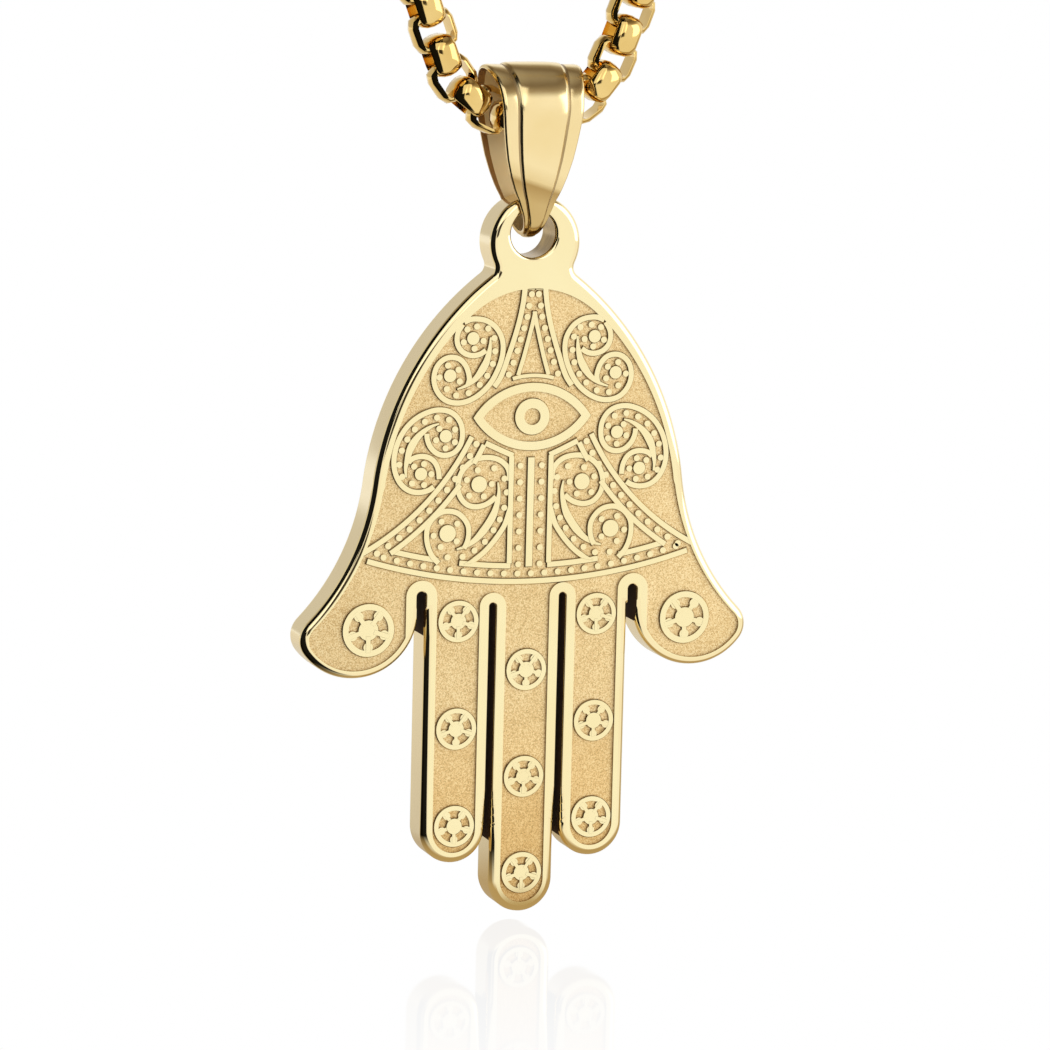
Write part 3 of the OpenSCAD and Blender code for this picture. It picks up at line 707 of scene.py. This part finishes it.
def skirt_half():
    """The right half of the skirt: its base line, its sash and the border beside the middle bar."""
    lines = [
        line(arc(HEM_C, HEM_R, 271.95, 277.7, 10)),
        line(arc(HEM_C, HEM_R, 279.9, 285.1, 10)),
        line(arc(SASH_C, SASH_OUT_R, 206.2, 242.5, 30)),
        line(arc(SASH_C, SASH_IN_R, 206.6, 211.3, 5)),
        line(arc(SASH_C, SASH_IN_R, 216.3, 237.2, 20)),
        line([(1.42, -2.62), (1.42, -10.1)]),
        line([(1.26, -2.66), (2.1, -2.3), (3.35, -1.72)]),
    ]
    beads = on_ring(SASH_C, SASH_BEAD_R, 0.235, [207.3 + 2.93 * i for i in range(12)])
    return lines, beads + [(0.77, -3.35 - 1.13 * i, 0.22) for i in range(7)]


def scrolls_half():
    strokes = []
    for points, taper in SCROLL_STROKES:
        strokes.append(stroke(points, taper, CRESCENT_W if taper == CRESCENT else LINE_W))
    return strokes + [disc((x, z), r) for x, z, r in SCROLL_KNOBS], SCROLL_BEADS


def spire_half():
    """The right half of the spire: its side, the gable inside it, the fine line at its top, and its beads."""
    side = stroke(SPIRE_LINE)
    gable = line([(-0.04, 7.2), (0.16, 6.25), (0.42, 5.2), (0.72, 4.05), (1.1, 2.8)], GABLE_W)
    top = line([(0.0, 8.66), (0.56, 8.62), (0.62, 8.2)], FINE_W)
    return [side, gable, top], [(x, z, BEAD_R) for x, z in SPIRE_BEADS]


def raised_work():
    pieces, beads = eye(), []
    for c, r in ROSETTES:
        made, places = rosette(c, r)
        pieces += made
        beads += places
    # the hem's lower line and its beads, right across, and the skirt's middle bar
    pieces.append(line(arc(HEM_C, HEM_FOOT_R, 252.6, 287.4, 44)))
    beads += on_ring(HEM_C, HEM_BEAD_R, BEAD_R, [270.25 + 1.457 * i for i in range(-11, 12)])
    pieces.append(raised([(-0.28, -2.75), (-0.28, -10.35), (0.28, -10.35), (0.28, -2.75)], "bar"))
    side, side_beads = skirt_half()
    made, places = scrolls_half()
    side += made
    side_beads += places
    # the spire's foot follows the eye's upper lid
    lid_r = (EYE_HALF_W ** 2 + EYE_HALF_H ** 2) / (2 * EYE_HALF_H)
    pieces.append(line(arc((0, EYE_HALF_H - lid_r), lid_r + LID_GAP, 74, 106, 18), LID_LINE_W))
    made, places = spire_half()
    side += made
    side_beads += places
    pieces += both_sides(side)
    beads += side_beads + [(-x, z, r) for x, z, r in side_beads]
    return pieces + bead_rows(beads)


def in_slot(x, z):
    spread = 0.15 if z < -FINGER_DROP else 0.02
    return any(abs(x - xc) < w / 2 + spread and foot < z < top + 0.05 for xc, top, w, foot in SLOTS)


# A face of the hand looks to the front or back past FLAT, and stands upright below STEEP
FLAT, STEEP = 0.99, 0.15
HAND_FINISHES = (FACE_GOLD, GROUND_GOLD, SHADED_STEP_GOLD, BEVEL_GOLD, SIDE_GOLD, SHADED_SLOT_GOLD, SHADED_HOLE_GOLD)
RELIEF_FINISHES = (FACE_GOLD, SHADED_WALL_GOLD, SHADE_LINE_GOLD)
BAIL_FINISHES = (BAIL_GOLD, SHADED_GROOVE_GOLD, LIT_INNER_GOLD, SHADED_RIM_GOLD)


def paint(piece, finishes, choose):
    """Gives each face the finish that choose(face, x, y, z) names."""
    piece.data.materials.clear()
    for finish in finishes:
        piece.data.materials.append(finish)
    for face in piece.data.polygons:
        x, y, z = face.center / MM
        face.material_index = finishes.index(choose(face, x, y, z - EYE_Z))


def slab_finish(face, x, y, z):
    facing = abs(face.normal.y)
    if facing > FLAT:
        return GROUND_GOLD if abs(y - FLOOR) < 0.03 else FACE_GOLD
    if facing > STEEP:
        return BEVEL_GOLD
    if y < FLOOR + 0.02:
        return SHADED_STEP_GOLD
    if in_slot(x, z):
        return SHADED_SLOT_GOLD
    if hypot(x - HANG_X, z - HOLE_Z) < HOLE_R + HOLE_ROUND:
        return SHADED_HOLE_GOLD
    return SIDE_GOLD


def relief_finish(face, x, y, z):
    facing = abs(face.normal.y)
    if facing > FLAT:
        return FACE_GOLD
    return SHADE_LINE_GOLD if facing > STEEP else SHADED_WALL_GOLD


def soften(piece):
    """Smooth shading round the walls and the rounded edges, with a crisp line between the two."""
    deselect()
    piece.select_set(True)
    bpy.context.view_layer.objects.active = piece
    bpy.ops.object.shade_smooth_by_angle(angle=radians(30))
    mesh = piece.data
    kinds = {}
    for face in mesh.polygons:
        facing = abs(face.normal.y)
        kind = "flat" if facing > FLAT else "rounded" if facing > STEEP else "upright"
        if kind == "flat":
            face.use_smooth = False
        for key in face.edge_keys:
            kinds.setdefault(key, set()).add(kind)
    for an_edge in mesh.edges:
        if len(kinds.get(an_edge.key, ())) > 1:
            an_edge.use_edge_sharp = True


slab = hand_slab()
paint(slab, HAND_FINISHES, slab_finish)
relief = join(raised_work(), "relief")
paint(relief, RELIEF_FINISHES, relief_finish)
hand = join([slab, relief], "hand")
soften(hand)
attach(hand, "plate")
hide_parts("hand_plate")


# The bail: a strip bent into a closed teardrop, narrow at the foot, wider and flared at the top
# its half width at shares of the way from the foot's centre to the arch's
BAIL_WIDTHS = (
    (-0.3, 0.15), (-0.08, 0.27), (0.07, 0.38), (0.17, 0.48), (0.33, 0.59), (0.5, 0.68),
    (0.67, 0.74), (0.85, 0.79), (1.0, 0.82), (1.15, 0.84), (1.3, 0.88), (1.42, 0.95), (1.49, 1.0),
)


def bail_half_width(z):
    share = (z - FOOT_Z) / (ARCH_Z - FOOT_Z)
    for (s0, w0), (s1, w1) in zip(BAIL_WIDTHS, BAIL_WIDTHS[1:]):
        if share <= s1:
            t = max(0.0, (share - s0) / (s1 - s0))
            return BAIL_HALF_W * (w0 + (w1 - w0) * t)
    return BAIL_HALF_W


def bail_route():
    """The strip's middle line seen from the side: the arch, the back leg, the foot and the front leg."""
    arch, foot = (ARCH_R + BAIL_T / 2, ARCH_Z), (FOOT_R + BAIL_T / 2, FOOT_Z)
    lean = degrees(asin((ARCH_R - FOOT_R) / (ARCH_Z - FOOT_Z)))

    def on(bend, a):
        return Vector((0, bend[1])) + bend[0] * heading(a)

    route = []
    for bend, next_bend, a0, a1, steps in (
        (arch, foot, -lean, 180 + lean, 40), (foot, arch, 180 + lean, 360 - lean, 24)
    ):
        for i in range(steps + 1):
            a = a0 + (a1 - a0) * i / steps
            route.append((on(bend, a), a))
        for i in range(1, 16):
            route.append((on(bend, a1).lerp(on(next_bend, a1), i / 16), a1))
    return route


# Across the strip's outer face: side edge, groove, raised middle; as share of half width, and height
# over the strip's skin, which lies SKIN_DROP below its full thickness
LEFT_PROFILE = (
    (-1.0, -0.14), (-0.985, -0.06), (-0.95, -0.01), (-0.9, 0.01), (-0.66, 0.0), (-0.63, -0.02),
    (-0.60, 0.0), (-0.57, 0.10), (-0.52, 0.14), (-0.3, 0.17),
)
OUTER_PROFILE = LEFT_PROFILE + ((0.0, 0.18),) + tuple((-share, rise) for share, rise in LEFT_PROFILE[::-1])
INNER_PROFILE = ((1.0, 0.04), (0.84, 0), (0.4, 0), (0.0, 0), (-0.4, 0), (-0.84, 0), (-1.0, 0.04))
SKIN_DROP = 0.19


def bail_strip():
    """Sections across the strip, run along its teardrop route."""
    rows = []
    for p, a in bail_route():
        w = bail_half_width(p.y)
        h = heading(a)
        section = [(share * w, BAIL_T / 2 - SKIN_DROP + rise) for share, rise in OUTER_PROFILE]
        section += [(share * w, rise - BAIL_T / 2) for share, rise in INNER_PROFILE]
        y, z = p.x, EYE_Z + p.y
        rows.append([(HANG_X + across, y + out * h.x, z + out * h.y) for across, out in section])
    n, m = len(rows), len(rows[0])
    deselect()
    bpy.ops.mesh.primitive_torus_add(
        major_segments=n, minor_segments=m, major_radius=0.004, minor_radius=0.001
    )
    strip = bpy.context.active_object
    strip.name = "bail_strip"
    for i, row in enumerate(rows):
        for k, p in enumerate(row):
            strip.data.vertices[i * m + k].co = Vector(p) * MM
    edit(strip)
    bpy.ops.mesh.select_all(action="SELECT")
    bpy.ops.mesh.remove_doubles(threshold=1e-7)
    bpy.ops.mesh.normals_make_consistent(inside=False)
    done()
    bpy.ops.object.shade_smooth_by_angle(angle=radians(38))
    return strip


def bail_finish(face, x, y, z):
    share = abs(x - HANG_X) / bail_half_width(z)
    outward = face.normal.y * y + face.normal.z * (z - min(max(z, FOOT_Z), ARCH_Z))
    if outward < -0.3:
        return SHADED_RIM_GOLD if share > 0.86 else LIT_INNER_GOLD
    return SHADED_GROOVE_GOLD if 0.595 < share < 0.65 else BAIL_GOLD


bail = bail_strip()
paint(bail, BAIL_FINISHES, bail_finish)
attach(bail, "bail")
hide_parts("bail")


# The chain: box links, each a rounded square band, every other one turned by a quarter
def box_link():
    """One link round the origin, its band bent into a square with round corners, run along X."""
    half_l, half_w, half_band, t, r = 1.42, 1.57, 0.92, 0.46, 0.85
    outline = []
    for side_x, side_z, a0 in ((1, 1, 0), (-1, 1, 90), (-1, -1, 180), (1, -1, 270)):
        outline += [(side_x * (half_l - r), side_z * (half_w - r), a0 + 45 * k) for k in range(3)]
    # the band's section, as place across and height over its inner face, domed outside
    section = (
        (-1.0, 0.02), (-0.88, 0.24), (-0.5, 0.40), (0.0, 0.46), (0.5, 0.40), (0.88, 0.24), (1.0, 0.02),
        (0.0, 0.0),
    )
    n, m = len(outline), len(section)
    deselect()
    bpy.ops.mesh.primitive_torus_add(
        major_segments=n, minor_segments=m, major_radius=0.002, minor_radius=0.0004
    )
    link = bpy.context.active_object
    link.name = "link"
    for i, (cx, cz, a) in enumerate(outline):
        h = heading(a)
        for k, (across, out) in enumerate(section):
            d = r - t + out
            link.data.vertices[i * m + k].co = Vector((cx + d * h.x, across * half_band, cz + d * h.y)) * MM
    edit(link)
    bpy.ops.mesh.select_all(action="SELECT")
    bpy.ops.mesh.normals_make_consistent(inside=False)
    done()
    bpy.ops.object.shade_smooth_by_angle(angle=radians(50))
    return link


# The loop before its turn: the top arc's and the bend's centres, the left strand's ends, and the lengths
# of half the top arc from the clasp, of a strand and of the bend
TOP_C, BEND_C = Vector((0, -TOP_R)), Vector((0, BEND_Z))
HALF_TURN = asin((CLASP_HALF + CLASP_GAP) / TOP_R)
LEFT_HEAD = TOP_C + TOP_R * heading(180 + STRAND_LEAN)
LEFT_FOOT = BEND_C + BEND_R * heading(180 + STRAND_LEAN)
RIGHT_HEAD = TOP_C + TOP_R * heading(-STRAND_LEAN)
RIGHT_FOOT = BEND_C + BEND_R * heading(-STRAND_LEAN)
ARC_RUN = TOP_R * (pi / 2 + LEAN - HALF_TURN)
STRAND_RUN = (LEFT_FOOT - LEFT_HEAD).length
BEND_RUN = BEND_R * BEND_SPAN


def loop_place(s):
    """Place and direction on the loop, s millimetres along it from the clasp's left end."""
    if s < ARC_RUN:
        a = 90 + degrees(HALF_TURN + s / TOP_R)
        return TOP_C + TOP_R * heading(a), a + 90
    s -= ARC_RUN
    if s < STRAND_RUN:
        return LEFT_HEAD.lerp(LEFT_FOOT, s / STRAND_RUN), 270 + STRAND_LEAN
    s -= STRAND_RUN
    if s < BEND_RUN:
        a = 180 + STRAND_LEAN + degrees(s / BEND_R)
        return BEND_C + BEND_R * heading(a), a + 90
    s -= BEND_RUN
    if s < STRAND_RUN:
        return RIGHT_FOOT.lerp(RIGHT_HEAD, s / STRAND_RUN), 90 - STRAND_LEAN
    s -= STRAND_RUN
    a = -STRAND_LEAN + degrees(s / TOP_R)
    return TOP_C + TOP_R * heading(a), a + 90


def chain_loop():
    link = box_link()
    pitch = (2 * ARC_RUN + BEND_RUN + 2 * STRAND_RUN - LINK_ENDS) / (LINKS - 1)
    links = []
    for i in range(LINKS):
        p, a = loop_place(FIRST_LINK + pitch * i)
        turn = Matrix.Rotation(-radians(a), 4, "Y")
        roll = Matrix.Rotation(pi / 2 if i % 2 else 0, 4, "X")
        links.append(twin(link, Matrix.Translation((p.x * MM, 0, p.y * MM)) @ turn @ roll))
    bpy.data.objects.remove(link, do_unlink=True)
    chain = join(links, "box_chain")
    chain.data.transform(Matrix.Rotation(LOOP_TURN, 4, "Y"))
    return chain


chain = chain_loop()
chain.data.materials.append(CHAIN_GOLD)
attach(chain, "chain")
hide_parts("chain")

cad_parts["clasp"].data.materials.clear()
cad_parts["clasp"].data.materials.append(CLASP_GOLD)


# Floor, camera and studio light
def studio_tones():
    """What stands round the pendant, by compass direction: white walls and black flags.
    The table mirrors only the wide flag on the left."""
    group = bpy.data.node_groups.new("studio tones", "ShaderNodeTree")
    group.interface.new_socket("Direction", in_out="INPUT", socket_type="NodeSocketVector")
    group.interface.new_socket("Walls", in_out="OUTPUT", socket_type="NodeSocketColor")
    group.interface.new_socket("Table", in_out="OUTPUT", socket_type="NodeSocketColor")
    nodes, links = group.nodes, group.links
    start = nodes.new("NodeGroupInput")
    end = nodes.new("NodeGroupOutput")
    split = nodes.new("ShaderNodeSeparateXYZ")
    links.new(start.outputs["Direction"], split.inputs[0])
    flip = nodes.new("ShaderNodeMath")
    flip.operation = "MULTIPLY"
    flip.inputs[1].default_value = -1
    links.new(split.outputs["Y"], flip.inputs[0])
    turn = nodes.new("ShaderNodeMath")
    turn.operation = "ARCTAN2"
    links.new(split.outputs["X"], turn.inputs[0])
    links.new(flip.outputs[0], turn.inputs[1])
    share = nodes.new("ShaderNodeMapRange")
    share.inputs["From Min"].default_value = -pi
    share.inputs["From Max"].default_value = pi
    links.new(turn.outputs[0], share.inputs["Value"])
    white, black, dim, dark = (1, 1, 1), (0.01, 0.01, 0.01), (0.68, 0.65, 0.59), (0.05, 0.04, 0.03)
    flag = [(0.165, white), (0.175, black), (0.42, black), (0.43, white)]
    behind = [(0.0, dim), (0.155, dim)]
    thin_flag = [(0.438, white), (0.447, dark), (0.487, dark), (0.5, white), (0.965, white), (1.0, dim)]
    links.new(ramp(nodes, links, share.outputs["Result"], behind + flag + thin_flag), end.inputs["Walls"])
    links.new(ramp(nodes, links, share.outputs["Result"], flag), end.inputs["Table"])
    return group


def tones(nodes, links, direction, tones_group, output):
    node = nodes.new("ShaderNodeGroup")
    node.node_tree = tones_group
    links.new(direction, node.inputs["Direction"])
    return node.outputs[output]


def floor(tones_group):
    """A white table: white to the eye, with shade under and behind the hand in what its metal mirrors."""
    deselect()
    bpy.ops.mesh.primitive_plane_add(size=6, location=(0, 0, (EYE_Z - 35.05) * MM))
    piece = bpy.context.active_object
    piece.name = "floor"
    material, nodes, links, shader, coords = new_material("pale floor")
    split = nodes.new("ShaderNodeSeparateXYZ")
    links.new(coords.outputs["Object"], split.inputs[0])
    reach = nodes.new("ShaderNodeMapRange")
    reach.inputs["From Min"].default_value = -0.02
    reach.inputs["From Max"].default_value = 0.38
    links.new(split.outputs["Y"], reach.inputs["Value"])
    shade = ramp(nodes, links, reach.outputs["Result"], [
        (0.0, (1, 1, 1)), (0.022, (1, 1, 1)), (0.034, (0.47, 0.35, 0.19)), (0.075, (0.5, 0.4, 0.26)),
        (0.10, (0.66, 0.62, 0.55)), (0.24, (0.82, 0.77, 0.68)), (0.97, (0.92, 0.88, 0.80)),
        (1.0, (1, 1, 1)),
    ])
    white = nodes.new("ShaderNodeEmission")
    white.inputs["Color"].default_value = (1, 1, 1, 1)
    white.inputs["Strength"].default_value = 1.0
    mirror = nodes.new("ShaderNodeBsdfGlossy")
    mirror.inputs["Color"].default_value = (1, 1, 1, 1)
    mirror.inputs["Roughness"].default_value = 0.05
    seen = nodes.new("ShaderNodeMixShader")
    away = nodes.new("ShaderNodeVectorMath")
    away.operation = "LENGTH"
    links.new(coords.outputs["Object"], away.inputs[0])
    shine = ramp(nodes, links, away.outputs["Value"], [
        (0.0, (0.15,) * 3), (0.012, (0.12,) * 3), (0.055, (0, 0, 0)),
    ])
    links.new(shine, seen.inputs[0])
    links.new(white.outputs[0], seen.inputs[1])
    links.new(mirror.outputs[0], seen.inputs[2])
    around = nodes.new("ShaderNodeEmission")
    flags = tones(nodes, links, coords.outputs["Object"], tones_group, "Table")
    near = ramp(nodes, links, away.outputs["Value"], [(0.010, (1, 1, 1)), (0.022, (0, 0, 0))])
    far_flags = nodes.new("ShaderNodeMix")
    far_flags.data_type = "RGBA"
    links.new(near, far_flags.inputs[0])
    links.new(flags, far_flags.inputs[6])
    far_flags.inputs[7].default_value = (1, 1, 1, 1)
    links.new(multiply(nodes, links, shade, far_flags.outputs[2]), around.inputs["Color"])
    path = nodes.new("ShaderNodeLightPath")
    both = nodes.new("ShaderNodeMixShader")
    links.new(path.outputs["Is Camera Ray"], both.inputs[0])
    links.new(around.outputs[0], both.inputs[1])
    links.new(seen.outputs[0], both.inputs[2])
    links.new(both.outputs[0], nodes["Material Output"].inputs["Surface"])
    nodes.remove(shader)
    piece.data.materials.append(material)


def area_light(name, place, size, power):
    """A square white light that looks at the eye."""
    deselect()
    bpy.ops.object.light_add(type="AREA", location=Vector(place) * MM)
    lamp = bpy.context.active_object
    lamp.name = name
    lamp.data.shape = "SQUARE"
    lamp.data.size = size * MM
    lamp.data.energy = power
    towards = Vector((0, 0, EYE_Z)) - Vector(place)
    lamp.rotation_euler = towards.to_track_quat("-Z", "Y").to_euler()


def camera():
    """A long lens from the left and a little above, so far off that the hand fills the picture's height."""
    yaw, pitch, roll = radians(19.494), radians(9.243), radians(1.385)
    bpy.ops.object.camera_add(location=Vector((-101.1, -286.1, EYE_Z + 41.7)) * MM)
    cam = bpy.context.active_object
    tilt = Matrix.Rotation(pi / 2 - pitch, 3, "X") @ Matrix.Rotation(roll, 3, "Z")
    cam.rotation_euler = (Matrix.Rotation(-yaw, 3, "Z") @ tilt).to_euler()
    cam.data.sensor_width = 36
    cam.data.sensor_fit = "HORIZONTAL"
    cam.data.lens = 4500 / 1050 * 36
    cam.data.clip_start = 0.01
    cam.data.clip_end = 20
    bpy.context.scene.camera = cam


def studio_world(tones_group):
    """A white room with a warm dim ceiling and black flags, which only the metal's reflections show."""
    world = bpy.data.worlds.new("studio")
    bpy.context.scene.world = world
    world.use_nodes = True
    nodes, links = world.node_tree.nodes, world.node_tree.links
    background = nodes["Background"]
    coords = nodes.new("ShaderNodeTexCoord")
    room = tones(nodes, links, coords.outputs["Generated"], tones_group, "Walls")
    split = nodes.new("ShaderNodeSeparateXYZ")
    links.new(coords.outputs["Generated"], split.inputs[0])
    ceiling = ramp(nodes, links, split.outputs["Z"], [
        (0.0, (1, 1, 1)), (0.5, (1, 1, 1)), (0.68, (0.34, 0.28, 0.20)), (0.85, (0.16, 0.12, 0.08)),
        (1.0, (0.4, 0.36, 0.3)),
    ])
    path = nodes.new("ShaderNodeLightPath")
    mix = nodes.new("ShaderNodeMix")
    mix.data_type = "RGBA"
    links.new(path.outputs["Is Camera Ray"], mix.inputs[0])
    links.new(multiply(nodes, links, room, ceiling), mix.inputs[6])
    mix.inputs[7].default_value = (1, 1, 1, 1)
    links.new(mix.outputs[2], background.inputs["Color"])
    background.inputs["Strength"].default_value = 1.0


tones_group = studio_tones()
floor(tones_group)
camera()
studio_world(tones_group)
area_light("key", (-160, -420, EYE_Z + 340), 500, 0.8)
area_light("fill", (320, -220, EYE_Z + 120), 300, 0.4)

bpy.context.scene.view_settings.view_transform = "Standard"
